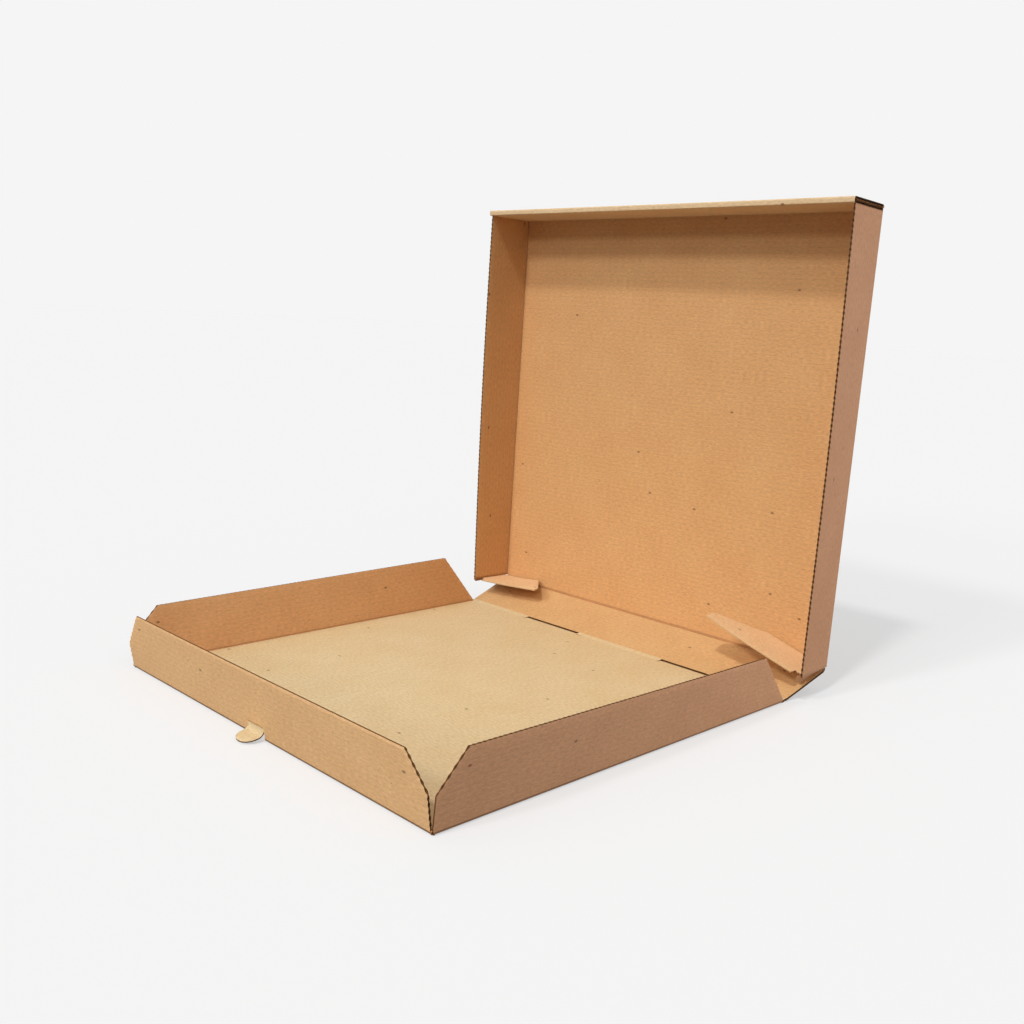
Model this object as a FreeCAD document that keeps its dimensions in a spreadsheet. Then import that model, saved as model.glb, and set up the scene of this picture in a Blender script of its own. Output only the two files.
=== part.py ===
import FreeCAD, Part
import math
import os
import Sketcher
from FreeCAD import Vector

# Open pizza box folded from one sheet of fine-flute board. The floor panel lies on the
# table with its bottom face at z = 0 and its centre at the origin. The front wall is
# towards -Y and the back wall, which carries the lid, is towards +Y.
# Lengths are in millimetres and angles in degrees. A fold of 0 lies flat and a fold of
# 90 stands square to the panel that carries it.
SIZES = {
    # Board and creases
    "board": 1.6,
    "edge_land": 0.2,
    "crease_play": 0.05,
    "fold_radius": 1.2,
    "slit_width": 0.9,
    # Floor panel, crease to crease
    "floor_width": 305.0,
    "floor_depth": 305.0,
    # Walls that stand round the floor
    "wall_height": 40.0,
    "wall_end_height": 20.5,
    "corner_play": 0.25,
    "front_end_inset": 16.4,
    "side_front_inset": 18.2,
    "side_rear_inset": 32.5,
    "side_rear_rise": 2.0,
    "front_splay": 8.4,
    "left_splay": 4.4,
    "right_splay": 4.7,
    # Thumb tab cut out of the floor and bent outwards at the foot of the front wall
    "thumb_centre": 0.0,
    "thumb_width": 16.0,
    "thumb_rise": 8.0,
    "thumb_bend": 4.0,
    "thumb_length": 12.0,
    "thumb_tip_radius": 6.5,
    # Slits in the rear crease of the floor
    "slit_length": 55.0,
    "left_slit_centre": -59.0,
    "right_slit_centre": 77.0,
    # Back wall, which leans back as it rises from the floor
    "closing_room": 6.0,
    "back_flare": 3.5,
    "back_tilt": 17.9,
    # Lid
    "lid_side_room": 3.9,
    "lid_front_room": 1.0,
    "lid_wall_depth": 39.0,
    "lid_lean": 1.0,
    "roll_rise": 2.3,
    "roll_gap": 0.8,
    "roll_foot": 0.4,
    "corner_flap": 70.0,
    # Tuck flaps at the hinge ends of the lid's side walls
    "flap_room": 0.4,
    "flap_panel_gap": 3.0,
    "flap_edge_inset": 2.5,
    "flap_relief_run": 6.0,
    "flap_relief_slope": 4.0,
    "flap_relief_depth": 6.0,
    "left_flap_length": 62.0,
    "left_flap_back": 40.0,
    "left_flap_tip_low": 26.0,
    "left_flap_tip_high": 30.0,
    "left_flap_fold": 92.0,
    "right_flap_length": 80.0,
    "right_flap_back": 46.0,
    "right_flap_tip_low": 25.0,
    "right_flap_tip_high": 36.5,
    "right_flap_fold": 106.0,
}

# Lengths that follow from the sizes above
STEP_BACK = "(sizes.edge_land + sizes.crease_play)"
BEVEL = "(sizes.board - sizes.edge_land)"
HALF_WIDTH = "(sizes.floor_width / 2)"
HALF_DEPTH = "(sizes.floor_depth / 2)"
CORNER_CUT = "(sizes.board + sizes.corner_play)"
BACK_HEIGHT = "(sizes.wall_height + sizes.closing_room)"
ROLL_RADIUS = "(sizes.board + sizes.roll_gap / 2)"
LID_INNER = "(sizes.floor_width / 2 + sizes.lid_side_room)"
LID_OUTER = "(sizes.floor_width / 2 + sizes.lid_side_room + sizes.board)"
LID_LENGTH = "(sizes.floor_depth + sizes.lid_front_room + 2 * " + ROLL_RADIUS + ")"
FLAP_LINE = "(2 * sizes.board + sizes.flap_room)"
TAB_UNDERSIDE = "(sizes.thumb_rise - sizes.thumb_bend - sizes.board)"
TAB_BLANK = ("((sizes.thumb_bend + sizes.board / 2) * pi / 2 + sizes.thumb_length"
             " - sizes.thumb_bend - sizes.thumb_rise)")

# A cut reaches this far past the edge or face that it opens
OVERCUT = 5.0
# Points nearer than this count as one when an edge is looked up
NEAR = 0.01


def fill_sheet(doc):
    """Write every size to its own named cell."""
    sheet = doc.addObject("Spreadsheet::Sheet", "sizes")
    for row, (name, value) in enumerate(SIZES.items(), start=1):
        sheet.set(f"A{row}", name.replace("_", " "))
        sheet.set(f"B{row}", str(value))
        sheet.setAlias(f"B{row}", name)
    doc.recompute()
    return sheet


def new_body(doc, name, place):
    """Start a panel that carries its own label and stands at a bound place."""
    body = doc.addObject("PartDesign::Body", name)
    body.Label = name
    body.setExpression("Placement", place)
    return body


def value_of(body, expression):
    """Number that an expression gives with the present sizes."""
    result = body.evalExpression(expression)
    return float(getattr(result, "Value", result))


def new_sketch(body, name, role, lift=None):
    """Sketch on one of the body's own origin planes, lifted off it where asked."""
    sketch = body.newObject("Sketcher::SketchObject", name)
    plane = next(item for item in body.Origin.OriginFeatures if item.Role == role)
    sketch.AttachmentSupport = [(plane, "")]
    sketch.MapMode = "FlatFace"
    if lift:
        sketch.setExpression(".AttachmentOffset.Base.z", lift)
    return sketch


def pin(sketch, kind, edge, point, value, expression):
    """Hold one coordinate of a point at a distance from the sketch's origin."""
    index = sketch.addConstraint(Sketcher.Constraint(kind, -1, 1, edge, point, value))
    sketch.setExpression(f"Constraints[{index}]", expression)


def arc_between(start, end, known, turn):
    """Arc from start to end, with one coordinate of its centre known."""
    axis, height = known
    middle = (start + end) * 0.5
    chord = end - start
    if axis == "y":
        centre = Vector(middle.x - (height - middle.y) * chord.y / chord.x, height, 0)
    else:
        centre = Vector(height, middle.y - (height - middle.x) * chord.x / chord.y, 0)
    first = start if turn == "left" else end
    last = end if turn == "left" else start
    circle = Part.Circle(centre, Vector(0, 0, 1), (start - centre).Length)
    begin = math.atan2(first.y - centre.y, first.x - centre.x)
    finish = math.atan2(last.y - centre.y, last.x - centre.x)
    return Part.ArcOfCircle(circle, begin, finish)


def outline(body, name, role, corners, arcs=None, lift=None):
    """Closed outline whose corners are bound to the sizes.

    An entry in arcs makes the edge that leaves that corner an arc. It gives the known
    coordinate of the centre, the expression for it, and which way the edge turns.
    """
    arcs = arcs or {}
    sketch = new_sketch(body, name, role, lift)
    places = [Vector(value_of(body, across), value_of(body, up), 0) for across, up in corners]
    ends = []
    for index, start in enumerate(places):
        end = places[(index + 1) % len(places)]
        if index in arcs:
            axis, expression, turn = arcs[index]
            known = (axis, value_of(body, expression))
            edge = sketch.addGeometry(arc_between(start, end, known, turn))
            kind = "DistanceY" if axis == "y" else "DistanceX"
            pin(sketch, kind, edge, 3, known[1], expression)
            ends.append((edge, 1, 2) if turn == "left" else (edge, 2, 1))
        else:
            edge = sketch.addGeometry(Part.LineSegment(start, end))
            ends.append((edge, 1, 2))
    for index, (edge, first, last) in enumerate(ends):
        following, onward, _ = ends[(index + 1) % len(ends)]
        sketch.addConstraint(Sketcher.Constraint("Coincident", edge, last, following, onward))
        across, up = corners[index]
        pin(sketch, "DistanceX", edge, first, places[index].x, across)
        pin(sketch, "DistanceY", edge, first, places[index].y, up)
    return sketch


def pad(body, name, sketch, length, both_ways=False, backwards=False):
    """Give an outline its thickness."""
    feature = body.newObject("PartDesign::Pad", name)
    feature.Profile = sketch
    feature.setExpression("Length", length)
    feature.SideType = "Symmetric" if both_ways else "One side"
    feature.Reversed = backwards
    return feature


def cut_through(body, name, sketch):
    """Cut an outline through the board, whichever side of its plane the board lies."""
    before = body.Tip.Shape.Volume
    feature = body.newObject("PartDesign::Pocket", name)
    feature.Profile = sketch
    feature.setExpression("Length", f"2 * (sizes.board + {OVERCUT})")
    feature.SideType = "Symmetric"
    body.Document.recompute()
    if feature.Shape.Volume >= before:
        raise RuntimeError(f"{name} cuts nothing")
    return feature


def edges_where(shape, test):
    """Names of the edges whose two end points pass a test."""
    found = []
    for index, edge in enumerate(shape.Edges, start=1):
        points = [vertex.Point for vertex in edge.Vertexes]
        if len(points) == 2 and test(*points):
            found.append(f"Edge{index}")
    return found


def dress_edges(body, kind, name, test, size):
    """Chamfer or fillet the edges that a test picks from the body's present shape."""
    body.Document.recompute()
    tip = body.Tip
    feature = body.newObject("PartDesign::" + kind, name)
    feature.Base = (tip, edges_where(tip.Shape, test))
    feature.setExpression("Size" if kind == "Chamfer" else "Radius", size)
    body.Document.recompute()
    return feature


def near(value, target):
    """True where two coordinates are the same place."""
    return abs(value - target) < NEAR


def slit_outline(body, name, centre):
    """Long slot along the rear crease of the floor."""
    left = f"{centre} - sizes.slit_length / 2"
    right = f"{centre} + sizes.slit_length / 2"
    front = f"{HALF_DEPTH} - {STEP_BACK} - sizes.slit_width"
    rear = f"{HALF_DEPTH} + {OVERCUT}"
    corners = [(left, front), (right, front), (right, rear), (left, rear)]
    return outline(body, name, "XY_Plane", corners)


def build_floor(doc):
    """Floor panel, bevelled on its four creases, with the notch that the thumb tab leaves."""
    body = new_body(doc, "floor_panel", "placement(vector(0; 0; 0); rotation(0; 0; 0))")
    right = f"{HALF_WIDTH} - {STEP_BACK}"
    rear = f"{HALF_DEPTH} - {STEP_BACK}"
    corners = [(f"-({right})", f"-({rear})"), (right, f"-({rear})"), (right, rear),
               (f"-({right})", rear)]
    pad(body, "floor_board", outline(body, "floor_outline", "XY_Plane", corners), "sizes.board")
    top = SIZES["board"]
    dress_edges(body, "Chamfer", "floor_creases",
                lambda first, last: near(first.z, top) and near(last.z, top), BEVEL)

    notch_half = "(sizes.thumb_width / 2 + sizes.crease_play)"
    mouth = f"-{HALF_DEPTH} - {OVERCUT}"
    shoulder = f"-{HALF_DEPTH} + {TAB_BLANK} - {notch_half}"
    left = f"sizes.thumb_centre - {notch_half}"
    right = f"sizes.thumb_centre + {notch_half}"
    corners = [(left, mouth), (right, mouth), (right, shoulder), (left, shoulder)]
    arcs = {2: ("y", shoulder, "left")}
    cut_through(body, "thumb_notch", outline(body, "notch_outline", "XY_Plane", corners, arcs))
    cut_through(body, "left_slit", slit_outline(body, "left_slit_outline", "sizes.left_slit_centre"))
    cut_through(body, "right_slit", slit_outline(body, "right_slit_outline", "sizes.right_slit_centre"))
    return body


def wall_corners(half, low_end, high_end):
    """Corners of a wall with bevelled ends.

    Each end gives its cut-back at the crease, the height where its bevel starts and the
    inset of the top edge, all measured from the corner of the floor.
    """
    low_cut, low_rise, low_inset = low_end
    high_cut, high_rise, high_inset = high_end
    return [
        (f"-{half} + {low_cut}", STEP_BACK),
        (f"{half} - {high_cut}", STEP_BACK),
        (f"{half} - {high_cut}", high_rise),
        (f"{half} - {high_inset}", "sizes.wall_height"),
        (f"-{half} + {low_inset}", "sizes.wall_height"),
        (f"-{half} + {low_cut}", low_rise),
    ]


def build_wall(doc, name, place, corners):
    """Upright wall: outer face at z = 0 of its own frame, crease along its X axis."""
    body = new_body(doc, name, place)
    pad(body, name + "_board", outline(body, name + "_outline", "XY_Plane", corners), "sizes.board")
    crease = value_of(body, STEP_BACK)
    top = SIZES["board"]

    def on_crease(first, last):
        return all(near(point.z, top) and near(point.y, crease) for point in (first, last))

    dress_edges(body, "Chamfer", name + "_crease", on_crease, BEVEL)
    return body


def add_thumb_tab(body):
    """Tongue that leaves the foot of the front wall and curls outwards over the table."""
    centre = "(-sizes.thumb_centre)"
    half = "(sizes.thumb_width / 2 + sizes.crease_play)"
    corners = [(f"{centre} - {half}", f"-{OVERCUT}"), (f"{centre} + {half}", f"-{OVERCUT}"),
               (f"{centre} + {half}", "sizes.thumb_rise"), (f"{centre} - {half}", "sizes.thumb_rise")]
    cut_through(body, "tab_opening", outline(body, "tab_opening_outline", "XY_Plane", corners))

    root = "sizes.thumb_rise + sizes.board / 2"
    bend_top = "sizes.thumb_rise - sizes.thumb_bend"
    section = [
        (root, "0"),
        ("sizes.thumb_rise", "0"),
        (bend_top, "-sizes.thumb_bend"),
        (bend_top, "-sizes.thumb_length"),
        (TAB_UNDERSIDE, "-sizes.thumb_length"),
        (TAB_UNDERSIDE, "-sizes.thumb_bend"),
        ("sizes.thumb_rise", "sizes.board"),
        (root, "sizes.board"),
    ]
    arcs = {1: ("x", "sizes.thumb_rise", "left"), 5: ("x", "sizes.thumb_rise", "right")}
    sketch = outline(body, "tab_section", "YZ_Plane", section, arcs, centre)
    pad(body, "thumb_tab", sketch, "sizes.thumb_width", both_ways=True)
    reach = -SIZES["thumb_length"]
    middle = -SIZES["thumb_centre"]
    half_width = SIZES["thumb_width"] / 2

    def at_tip_corner(first, last):
        on_side = near(first.x, last.x) and near(abs(first.x - middle), half_width)
        return on_side and near(first.z, reach) and near(last.z, reach)

    dress_edges(body, "Fillet", "tab_tip", at_tip_corner, "sizes.thumb_tip_radius")


def build_walls(doc):
    """Front, left and right walls of the floor, each splayed outwards from square."""
    front_end = (CORNER_CUT, "sizes.wall_end_height", "sizes.front_end_inset")
    side_front = (STEP_BACK, "sizes.wall_end_height", "sizes.side_front_inset")
    side_rear = (CORNER_CUT, "sizes.side_rear_rise", "sizes.side_rear_inset")
    front = build_wall(
        doc, "front_wall",
        f"placement(vector(0; -{HALF_DEPTH}; 0); rotation(180; 0; 90 - sizes.front_splay))",
        wall_corners(HALF_WIDTH, front_end, front_end))
    add_thumb_tab(front)
    left = build_wall(
        doc, "left_wall",
        f"placement(vector(-{HALF_WIDTH}; 0; 0); rotation(90; 0; 90 - sizes.left_splay))",
        wall_corners(HALF_DEPTH, side_front, side_rear))
    right = build_wall(
        doc, "right_wall",
        f"placement(vector({HALF_WIDTH}; 0; 0); rotation(-90; 0; 90 - sizes.right_splay))",
        wall_corners(HALF_DEPTH, side_rear, side_front))
    return [front, left, right]


def build_back_wall(doc):
    """Back wall between the floor and the lid, bevelled on both creases."""
    place = f"placement(vector(0; {HALF_DEPTH}; 0); rotation(0; 0; sizes.back_tilt))"
    body = new_body(doc, "back_wall", place)
    top = f"{BACK_HEIGHT} - {STEP_BACK}"
    wide = f"({HALF_WIDTH} + sizes.back_flare)"
    corners = [(f"-{HALF_WIDTH}", STEP_BACK), (HALF_WIDTH, STEP_BACK), (wide, top), (f"-{wide}", top)]
    pad(body, "back_board", outline(body, "back_outline", "XY_Plane", corners), "sizes.board")
    creases = (value_of(body, STEP_BACK), value_of(body, top))
    inner = SIZES["board"]

    def on_crease(first, last):
        on_line = near(first.y, last.y) and any(near(first.y, crease) for crease in creases)
        return on_line and near(first.z, inner) and near(last.z, inner)

    dress_edges(body, "Chamfer", "back_creases", on_crease, BEVEL)
    return body


def build_lid(doc):
    """Lid: panel, two side walls and a front wall rolled over the corner flaps."""
    fold = "90 - sizes.lid_lean - sizes.back_tilt"
    body = new_body(
        doc, "lid",
        f"back_wall.Placement * placement(vector(0; {BACK_HEIGHT}; 0); rotation(0; 0; {fold}))")
    depth = "sizes.lid_wall_depth"
    shoulder = f"{depth} + sizes.roll_rise - {ROLL_RADIUS}"
    inner_face = f"{LID_LENGTH} - 2 * {ROLL_RADIUS}"
    section = [
        (STEP_BACK, "0"),
        (LID_LENGTH, "0"),
        (LID_LENGTH, shoulder),
        (inner_face, shoulder),
        (inner_face, "sizes.board + sizes.roll_foot"),
        (f"{inner_face} + sizes.board", "sizes.board + sizes.roll_foot"),
        (f"{inner_face} + sizes.board", shoulder),
        (f"{LID_LENGTH} - sizes.board", shoulder),
        (f"{LID_LENGTH} - sizes.board", "sizes.board"),
        (f"{STEP_BACK} + {BEVEL}", "sizes.board"),
        (STEP_BACK, "sizes.edge_land"),
    ]
    arcs = {2: ("y", shoulder, "left"), 6: ("y", shoulder, "right")}
    sketch = outline(body, "lid_section", "YZ_Plane", section, arcs)
    pad(body, "panel_and_roll", sketch, f"2 * {LID_OUTER}", both_ways=True)

    nose = f"{FLAP_LINE} - sizes.board"
    side = [(LID_INNER, nose), (LID_OUTER, FLAP_LINE), (LID_OUTER, inner_face), (LID_INNER, inner_face)]
    arcs = {0: ("x", LID_INNER, "left")}
    side_wall = pad(body, "side_wall", outline(body, "side_plan", "XY_Plane", side, arcs), depth)

    tail = f"{LID_OUTER} - sizes.corner_flap"
    rear_face = f"{LID_LENGTH} - sizes.board"
    front_face = f"{rear_face} - sizes.roll_gap"
    corner = [(LID_OUTER, inner_face), (LID_OUTER, rear_face), (tail, rear_face), (tail, front_face),
              (LID_INNER, front_face), (LID_INNER, inner_face)]
    sketch = outline(body, "corner_plan", "XY_Plane", corner)
    corner_flap = pad(body, "corner_flap", sketch, f"{depth} - {ROLL_RADIUS}")

    doc.recompute()
    mirror = body.newObject("PartDesign::Mirrored", "other_side")
    mirror.Originals = [side_wall, corner_flap]
    plane = next(item for item in body.Origin.OriginFeatures if item.Role == "YZ_Plane")
    mirror.MirrorPlane = (plane, [""])
    body.Tip = mirror
    doc.recompute()

    length = value_of(body, LID_LENGTH)
    outer = value_of(body, LID_OUTER)
    start = value_of(body, FLAP_LINE)

    def on_fold(point):
        along_front = near(point.y, length)
        along_side = near(abs(point.x), outer) and point.y > start - NEAR
        return near(point.z, 0) and (along_front or along_side)

    def outer_fold(first, last):
        return on_fold(first) and on_fold(last)

    dress_edges(body, "Fillet", "lid_folds", outer_fold, "sizes.fold_radius")
    return body


def build_tuck_flap(doc, side, turn, across, backwards):
    """Flap hinged on the inner face of a lid side wall, with a tapered end."""
    place = (f"lid.Placement * placement(vector({across}; {FLAP_LINE}; 0);"
             f" rotation({turn}; 0; 0))")
    body = new_body(doc, side + "_tuck_flap", place)
    high = "sizes.lid_wall_depth - sizes.flap_edge_inset"
    corners = [
        ("sizes.crease_play", "sizes.flap_panel_gap"),
        (f"sizes.{side}_flap_back", "sizes.flap_panel_gap"),
        (f"sizes.{side}_flap_length", f"sizes.{side}_flap_tip_low"),
        (f"sizes.{side}_flap_length", f"sizes.{side}_flap_tip_high"),
        ("sizes.flap_relief_run + sizes.flap_relief_slope", high),
        ("sizes.flap_relief_run", f"{high} - sizes.flap_relief_depth"),
        ("sizes.crease_play", f"{high} - sizes.flap_relief_depth"),
    ]
    sketch = outline(body, side + "_flap_outline", "XZ_Plane", corners)
    pad(body, side + "_flap_board", sketch, "sizes.board", backwards=backwards)
    return body


def check_objects(doc):
    """Stop where any object failed or any panel has no sound solid."""
    for item in doc.Objects:
        if "Invalid" in item.State or "Error" in item.State:
            raise RuntimeError(f"{item.Name} failed: {item.State}")
    for item in doc.Objects:
        if item.TypeId == "PartDesign::Body":
            shape = item.Shape
            if shape.isNull() or not shape.isValid() or len(shape.Solids) != 1:
                raise RuntimeError(f"{item.Name} has no sound solid")


def export_panels(doc):
    """Write each panel to the file that carries its label."""
    os.makedirs("parts", exist_ok=True)
    for item in doc.Objects:
        if item.TypeId == "PartDesign::Body":
            item.Shape.exportStep(f"parts/{item.Label}.step")
            box = item.Shape.BoundBox
            print(f"{item.Label}: {item.Shape.Volume:.1f} mm3, x {box.XMin:.2f} to {box.XMax:.2f},"
                  f" y {box.YMin:.2f} to {box.YMax:.2f}, z {box.ZMin:.2f} to {box.ZMax:.2f}")


def build_box():
    """Build every panel of the box and write it out."""
    doc = FreeCAD.newDocument("pizza_box")
    fill_sheet(doc)
    build_floor(doc)
    build_walls(doc)
    build_back_wall(doc)
    build_lid(doc)
    build_tuck_flap(doc, "left", "sizes.left_flap_fold - 90", f"-{LID_INNER}", False)
    build_tuck_flap(doc, "right", "-90 - sizes.right_flap_fold", LID_INNER, True)
    doc.recompute()
    check_objects(doc)
    export_panels(doc)


build_box()
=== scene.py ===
"""Looks of an open pizza box folded from one sheet of kraft corrugated board.

Each panel is made as real board is: two flat liners with a fluted medium between them. It is cut to its
outline in the flat sheet, warped a little, and stood up at its crease.
Lengths are millimetres in the flat sheet, and metres once a panel is placed.
"""
import logging
import math
from collections.abc import Callable, Sequence
from dataclasses import dataclass
from enum import Enum

import bmesh
import bpy
from mathutils import Matrix, Vector


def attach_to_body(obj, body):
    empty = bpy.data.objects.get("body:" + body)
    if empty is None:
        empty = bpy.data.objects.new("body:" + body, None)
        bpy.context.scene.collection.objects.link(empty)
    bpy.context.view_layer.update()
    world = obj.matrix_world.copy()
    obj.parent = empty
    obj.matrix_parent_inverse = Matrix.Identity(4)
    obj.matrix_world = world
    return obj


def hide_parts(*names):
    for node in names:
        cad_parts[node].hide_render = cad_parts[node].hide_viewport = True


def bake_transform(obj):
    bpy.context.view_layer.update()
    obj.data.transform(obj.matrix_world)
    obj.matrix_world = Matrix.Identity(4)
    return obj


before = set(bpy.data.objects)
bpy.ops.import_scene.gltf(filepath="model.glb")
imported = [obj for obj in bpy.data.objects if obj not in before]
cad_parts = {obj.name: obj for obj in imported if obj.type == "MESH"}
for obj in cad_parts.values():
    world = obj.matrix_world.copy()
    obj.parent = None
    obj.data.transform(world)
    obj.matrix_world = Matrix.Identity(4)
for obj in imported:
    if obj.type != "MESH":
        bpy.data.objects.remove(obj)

LOG = logging.getLogger("pizza_box")
MM = 0.001
Warp = Callable[[Vector], Vector]


class Slot(Enum):
    """Material slots of the record."""

    TRAY = "kraft_tray"
    LID = "kraft_lid"
    FLAP = "kraft_flap"


class Layer(Enum):
    """Order of a board's finishes on its mesh."""

    OUTSIDE = 0
    INSIDE = 1
    RAW = 2


class Flutes(Enum):
    """Direction of the flutes in a panel's own sheet."""

    ALONG = 0
    UP = 1


@dataclass(frozen=True)
class Board:
    """Fine-flute corrugated board."""

    thickness: float = 1.6
    liner: float = 0.28
    medium: float = 0.22
    pitch: float = 3.5
    steps: int = 4
    band: float = 7.0
    press: float = 0.34
    press_reach: float = 1.5
    # Flutes that run into an edge at least this steeply ripple the press by this factor
    least_crossing: float = 0.2
    press_swing: float = 1.3

    @property
    def step(self) -> float:
        """Length of one step of the fluted wave."""
        return self.pitch / self.steps

    @property
    def room(self) -> float:
        """Height between the liners."""
        return self.thickness - 2 * self.liner


@dataclass(frozen=True)
class BoxSizes:
    """Driving sizes of the box and the angles of its folds, in millimetres and degrees."""

    half_width: float = 152.5
    half_depth: float = 152.5
    front_splay: float = 8.4
    left_splay: float = 4.4
    right_splay: float = 4.7
    wall_height: float = 40.0
    back_height: float = 46.0
    back_flare: float = 3.5
    back_tilt: float = 17.9
    lid_lean: float = 1.0
    lid_half: float = 158.0
    lid_length: float = 310.0
    lid_depth: float = 39.0
    roll_depth: float = 41.3
    roll_radius: float = 2.0
    flap_line: float = 3.6


BOARD = Board()
SIZES = BoxSizes()
# Faces that meet at a wider angle than this keep a sharp edge between them
SHARP = math.radians(35)
# A liner stops this far from a crease on the outer side and on the inner side
OUTER_SETBACK = 2.0
INNER_SETBACK = 2.4


def linear(code: str) -> tuple[float, float, float, float]:
    """Turn an sRGB hex colour to linear values.

    Args:
        code: Colour as six hex digits.

    Returns:
        Linear red, green, blue and an alpha of one.
    """
    values = [int(code[index:index + 2], 16) / 255 for index in (0, 2, 4)]
    red, green, blue = (value / 12.92 if value <= 0.04045 else ((value + 0.055) / 1.055) ** 2.4
                        for value in values)
    return red, green, blue, 1.0


def add_node(tree: bpy.types.NodeTree, kind: str, settings: dict | None = None,
             links: dict | None = None) -> bpy.types.Node:
    """Add a shader node with its settings and links.

    Args:
        tree: Node tree that gets the node.
        kind: Type name of the node, after its "ShaderNode".
        settings: Values by input name or index, or by property name.
        links: Output sockets, or nodes for their first output, by the input that they feed.

    Returns:
        The new node.
    """
    node = tree.nodes.new("ShaderNode" + kind)
    for key, value in (settings or {}).items():
        if isinstance(key, str) and hasattr(node, key):
            setattr(node, key, value)
        else:
            node.inputs[key].default_value = value
    for key, source in (links or {}).items():
        socket = source.outputs[0] if isinstance(source, bpy.types.Node) else source
        tree.links.new(socket, node.inputs[key])
    return node


def blank_material(name: str) -> bpy.types.Material:
    """Make a material with an empty node tree.

    Args:
        name: Name of the material.

    Returns:
        The new material.
    """
    material = bpy.data.materials.new(name)
    material.use_nodes = True
    material.node_tree.nodes.clear()
    return material


@dataclass(frozen=True)
class KraftLiner:
    """Unbleached kraft linerboard: matt brown paper, clouded, with fibres and dark flecks.

    The faint ribs are the flutes that press through the paper.
    """

    name: str
    base: str
    cloud: str
    fleck: str = "5E3315"
    fleck_cover: float = 0.7
    # Distance between the places for a fleck, its radius and the share of places left empty
    fine_flecks: tuple[float, float, float] = (9.0, 0.28, 0.65)
    large_flecks: tuple[float, float, float] = (40.0, 1.0, 0.5)
    rib_shade: float = 0.02
    cloud_size: float = 36.0
    # Single fibres are too fine to show, so they are drawn as clumps of this width
    fibre_size: float = 1.0
    fibre_shade: float = 0.17
    fibre_depth: float = 0.05
    rib_depth: float = 0.02
    roughness: float = 0.72

    def spots(self, tree: bpy.types.NodeTree, sheet: bpy.types.NodeSocket, cell: float,
              radius: float, chosen: float) -> bpy.types.NodeSocket:
        """Scatter specks over the sheet.

        Args:
            tree: Node tree of the material.
            sheet: Coordinates in the flat sheet.
            cell: Average distance between the places for a speck, in millimetres.
            radius: Radius of a speck, in millimetres.
            chosen: Share of the places that stay empty.

        Returns:
            Socket that is one inside a speck.
        """
        shape = add_node(tree, "Mapping", {"Scale": (0.6, 1.0, 1.0)}, {"Vector": sheet})
        cells = add_node(tree, "TexVoronoi",
                         {"voronoi_dimensions": "2D", "Scale": 1 / (cell * MM)},
                         {"Vector": shape})
        inside = add_node(tree, "MapRange",
                          {"From Min": radius / cell, "From Max": 0.5 * radius / cell},
                          {"Value": cells.outputs["Distance"]})
        pick = add_node(tree, "SeparateColor", {}, {0: cells.outputs["Color"]})
        kept = add_node(tree, "Math", {"operation": "GREATER_THAN", 1: chosen}, {0: pick})
        return add_node(tree, "Math", {"operation": "MULTIPLY"}, {0: inside, 1: kept}).outputs[0]

    def material(self) -> bpy.types.Material:
        """Build the paper's node material.

        Returns:
            The material.
        """
        material = blank_material(self.name)
        tree = material.node_tree
        sheet = add_node(tree, "UVMap", {"uv_map": "sheet"}).outputs[0]
        cloud = add_node(tree, "TexNoise",
                         {"Scale": 1 / (self.cloud_size * MM), "Detail": 4.0, "Roughness": 0.6},
                         {"Vector": sheet})
        spread = add_node(tree, "MapRange", {"From Min": 0.3, "From Max": 0.7},
                          {"Value": cloud.outputs["Fac"]})
        clouded = add_node(tree, "Mix",
                           {"data_type": "RGBA", 6: linear(self.base), 7: linear(self.cloud)},
                           {0: spread})
        grain = add_node(tree, "Mapping", {"Scale": (0.3, 1.0, 1.0)}, {"Vector": sheet})
        fibre = add_node(tree, "TexNoise",
                         {"Scale": 1 / (self.fibre_size * MM), "Detail": 3.0, "Roughness": 0.7},
                         {"Vector": grain})
        rib = add_node(tree, "TexWave",
                       {"wave_type": "BANDS", "bands_direction": "Y", "wave_profile": "SIN",
                        "Scale": math.tau / (20 * BOARD.pitch * MM)}, {"Vector": sheet})
        fibre_tone = add_node(tree, "MapRange",
                              {"From Min": 0.3, "From Max": 0.7, "To Min": 1 - self.fibre_shade,
                               "To Max": 1 + self.fibre_shade}, {"Value": fibre.outputs["Fac"]})
        rib_tone = add_node(tree, "MapRange",
                            {"To Min": 1 - self.rib_shade, "To Max": 1 + self.rib_shade},
                            {"Value": rib.outputs["Fac"]})
        tone = add_node(tree, "Math", {"operation": "MULTIPLY"}, {0: fibre_tone, 1: rib_tone})
        toned = add_node(tree, "VectorMath", {"operation": "SCALE"},
                         {0: clouded.outputs[2], "Scale": tone})
        fine = self.spots(tree, sheet, *self.fine_flecks)
        large = self.spots(tree, sheet, *self.large_flecks)
        both = add_node(tree, "Math", {"operation": "MAXIMUM"}, {0: fine, 1: large})
        amount = add_node(tree, "Math", {"operation": "MULTIPLY", 1: self.fleck_cover}, {0: both})
        coloured = add_node(tree, "Mix", {"data_type": "RGBA", 7: linear(self.fleck)},
                            {0: amount, 6: toned})
        rib_bump = add_node(tree, "Bump", {"Strength": 0.3, "Distance": self.rib_depth * MM},
                            {"Height": rib.outputs["Fac"]})
        bump = add_node(tree, "Bump", {"Strength": 0.3, "Distance": self.fibre_depth * MM},
                        {"Height": fibre.outputs["Fac"], "Normal": rib_bump})
        shader = add_node(tree, "BsdfPrincipled",
                          {"Roughness": self.roughness, "Specular IOR Level": 0.5},
                          {"Base Color": coloured.outputs[2], "Normal": bump})
        add_node(tree, "OutputMaterial", {}, {"Surface": shader})
        return material


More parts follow.
